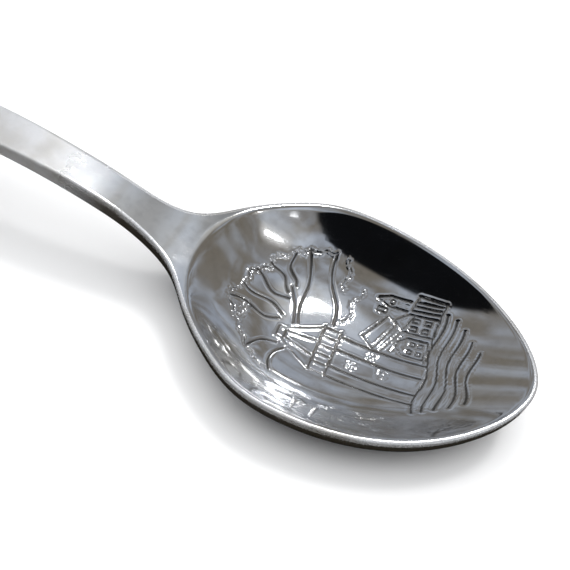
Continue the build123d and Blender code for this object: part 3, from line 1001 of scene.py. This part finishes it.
ENAMELS = {
    "sky": ("enamel_sky",),
    "sun": ("enamel_sun",),
    "snow": ("enamel_mountain", "enamel_mainsail", "enamel_jib"),
    "hills": ("enamel_hills",),
    "lake": ("enamel_lake",),
    "hull": ("enamel_hull",),
}


class SPOON_OT_enamels(bpy.types.Operator):
    """Colours the plaque's enamels"""
    bl_idname = "souvenir.enamels"
    bl_label = "Enamels"

    def execute(self, context):
        colours = context.scene.badge_colours
        for name, nodes in ENAMELS.items():
            material = enamel_material("enamel_" + name, getattr(colours, name))
            for node in nodes:
                put_on(node, material)
        return {"FINISHED"}


# ---- stage
CAMERA_TURN = math.radians(20.352)
CAMERA_HEIGHT = math.radians(56.887)
CAMERA_ROLL = math.radians(5.791)
CAMERA_LENS = 44.21
CAMERA_AWAY = 0.0721
CAMERA_TARGET = ((TIP - 26.48) * MM, 0.28 * MM, 7.4 * MM)

# Soft lamps round the spoon: turn from +X and height in degrees, half width, softness, colour, strength.
LAMPS = [
    (75, 70, 3.4, 2.0, (1.0, 1.0, 1.0), 40.0),
    (50, 70, 13, 12, (0.93, 0.97, 1.0), 0.30),
    (334, 33, 0.8, 0.8, (1.0, 1.0, 1.0), 20.0),
    (334, 33, 4, 4, (1.0, 1.0, 1.0), 0.25),
    (317, 20, 1.4, 1.2, (1.0, 1.0, 1.0), 1.5),
    (325, 34, 9, 8, (0.95, 0.98, 1.0), 0.15),
    (90, 6, 4, 4, (1.0, 1.0, 1.0), 2.0),
]
BACKDROP = 1.15             # how bright the backdrop is beside the floor's colour
FLOOR_HALF = 2.0            # half the floor's side, m
FADE_AWAY = (180, 420)      # where the floor turns into the backdrop, mm from the middle
# The dark side of the room, a round patch with a soft edge.
DARK_SIDE = (256, -4)
DARK_REACH = 54.0
DARK_EDGE = 2.0


def direction(turn, height):
    a, e = math.radians(turn), math.radians(height)
    return math.cos(a) * math.cos(e), math.sin(a) * math.cos(e), math.sin(e)


def patch(tree, way, turn, height, reach, soft):
    """1 inside a round patch of directions, 0 outside, over a soft edge."""
    facing = add(tree, "VectorMath", {0: way, 1: direction(turn, height)}, operation="DOT_PRODUCT")
    return between(tree, facing.outputs["Value"], math.cos(math.radians(reach + soft)),
                   math.cos(math.radians(max(reach - soft, 0))))


def make_world(settings):
    """A dim, mottled room with a dark side and soft lamps. The camera itself sees a pale backdrop."""
    world = bpy.data.worlds.new("soft_studio")
    bpy.context.scene.world = world
    world.use_nodes = True
    tree = world.node_tree
    tree.nodes.clear()
    way = add(tree, "TexCoord").outputs["Generated"]
    mottle = add(tree, "TexNoise", {"Vector": way, "Scale": 3.2, "Detail": 3.0, "Distortion": 0.4})
    low = [settings.room * c for c in (0.172, 0.158, 0.138)]
    high = [settings.room * c for c in (0.34, 0.37, 0.42)]
    light = blended(tree, between(tree, mottle.outputs["Fac"], 0.36, 0.66), (*low, 1), (*high, 1))
    for turn, height, half, soft, tint, strength in LAMPS:
        glow = add(tree, "Mix", data_type="RGBA", blend_type="ADD")
        tree.links.new(patch(tree, way, turn, height, half, soft), glow.inputs["Factor"])
        tree.links.new(light, glow.inputs[6])
        glow.inputs[7].default_value = (*(strength * settings.lamps * c for c in tint), 1)
        light = glow.outputs[2]
    dark = patch(tree, way, *DARK_SIDE, DARK_REACH, DARK_EDGE)
    light = blended(tree, dark, light, (*(0.004 * settings.room * c for c in (1, 1.1, 1.3)), 1))
    seen = add(tree, "LightPath").outputs["Is Camera Ray"]
    shown = blended(tree, seen, light, (*(BACKDROP * c for c in settings.floor), 1))
    background = add(tree, "Background", {"Color": shown})
    tree.links.new(background.outputs[0], add(tree, "OutputWorld").inputs["Surface"])
    bpy.context.scene.view_settings.view_transform = "Standard"


def make_soft_light(settings):
    """A large soft light overhead, for the floor and the enamels. The silver doesn't mirror it."""
    data = bpy.data.lights.new("overhead", "AREA")
    data.shape = "DISK"
    data.size = 0.6
    data.energy = 3.4 * settings.lamps
    lamp = bpy.data.objects.new("overhead", data)
    bpy.context.scene.collection.objects.link(lamp)
    lamp.location = (0.02, 0.06, 0.5)
    lamp.visible_glossy = False


def make_floor(settings):
    """A pale floor that fades into the backdrop. The silver mirrors it as a dark table."""
    size = FLOOR_HALF
    mesh = bpy.data.meshes.new("floor")
    edge = [(-size, -size, 0), (size, -size, 0), (size, size, 0), (-size, size, 0)]
    mesh.from_pydata(edge, [], [(0, 1, 2, 3)])
    floor = bpy.data.objects.new("floor", mesh)
    bpy.context.scene.collection.objects.link(floor)
    material = bpy.data.materials.new("pale_floor")
    material.use_nodes = True
    tree = material.node_tree
    tree.nodes.clear()
    at = in_millimetres(tree)
    shade = (*(0.97 * c for c in settings.floor), 1)
    pale = blended(tree, noise(tree, at, 0.02, 3), (*settings.floor, 1), shade)
    matt = add(tree, "BsdfDiffuse", {"Color": pale}).outputs[0]
    dark = add(tree, "BsdfDiffuse", {"Color": (0.02, 0.017, 0.013, 1)}).outputs[0]
    mirrored = add(tree, "LightPath").outputs["Is Glossy Ray"]
    away = add(tree, "VectorMath", {0: at}, operation="LENGTH").outputs["Value"]
    far = between(tree, away, *FADE_AWAY)
    backdrop = add(tree, "Emission", {"Color": (*settings.floor, 1), "Strength": BACKDROP}).outputs[0]
    faded = add(tree, "MixShader", {0: far, 1: matt, 2: backdrop}).outputs[0]
    mix = add(tree, "MixShader", {0: mirrored, 1: faded, 2: dark})
    tree.links.new(mix.outputs[0], add(tree, "OutputMaterial").inputs["Surface"])
    mesh.materials.append(material)


def make_camera():
    turn, height, roll = CAMERA_TURN, CAMERA_HEIGHT, CAMERA_ROLL
    back = Vector((math.sin(turn) * math.cos(height), -math.cos(turn) * math.cos(height), math.sin(height)))
    right = (-back).cross(Vector((0, 0, 1))).normalized()
    up = right.cross(-back)
    side = math.cos(roll) * right + math.sin(roll) * up
    top = -math.sin(roll) * right + math.cos(roll) * up
    data = bpy.data.cameras.new("camera")
    data.lens = CAMERA_LENS
    data.sensor_width = 36
    data.clip_start = 0.001
    camera = bpy.data.objects.new("camera", data)
    bpy.context.scene.collection.objects.link(camera)
    place = Vector(CAMERA_TARGET) + back * CAMERA_AWAY
    camera.matrix_world = Matrix.Translation(place) @ Matrix((side, top, back)).transposed().to_4x4()
    bpy.context.scene.camera = camera


class SPOON_OT_stage(bpy.types.Operator):
    """Sets up the camera, the pale floor and the soft light"""
    bl_idname = "souvenir.stage"
    bl_label = "Stage"

    def execute(self, context):
        settings = context.scene.spoon_stage
        make_camera()
        make_floor(settings)
        make_world(settings)
        make_soft_light(settings)
        return {"FINISHED"}


class SPOON_PT_panel(bpy.types.Panel):
    """Lists the spoon's settings and the operators that build it"""
    bl_label = "Souvenir Spoon"
    bl_idname = "SPOON_PT_panel"
    bl_space_type = "VIEW_3D"
    bl_region_type = "UI"
    bl_category = "Spoon"

    def draw(self, context):
        for holder in SETTINGS:
            group = getattr(context.scene, holder)
            box = self.layout.box()
            for name in group.bl_rna.properties.keys():
                if name not in ("rna_type", "name"):
                    box.prop(group, name)
        for operator in OPERATORS:
            self.layout.operator(operator.bl_idname)


SETTINGS = {"spoon_sizes": SpoonSizes, "spoon_finish": SpoonFinish, "badge_colours": BadgeColours,
            "spoon_stage": StageSettings}
OPERATORS = (SPOON_OT_stage, SPOON_OT_blank, SPOON_OT_badge, SPOON_OT_enamels)


def register():
    for cls in (*SETTINGS.values(), *OPERATORS, SPOON_PT_panel):
        bpy.utils.register_class(cls)
    for holder, cls in SETTINGS.items():
        setattr(bpy.types.Scene, holder, PointerProperty(type=cls))


def unregister():
    for holder in SETTINGS:
        delattr(bpy.types.Scene, holder)
    for cls in (SPOON_PT_panel, *reversed(OPERATORS), *reversed(SETTINGS.values())):
        bpy.utils.unregister_class(cls)


def main():
    register()
    bpy.ops.souvenir.stage()
    bpy.ops.souvenir.blank()
    bpy.ops.souvenir.badge()
    bpy.ops.souvenir.enamels()


if __name__ == "__main__":
    main()
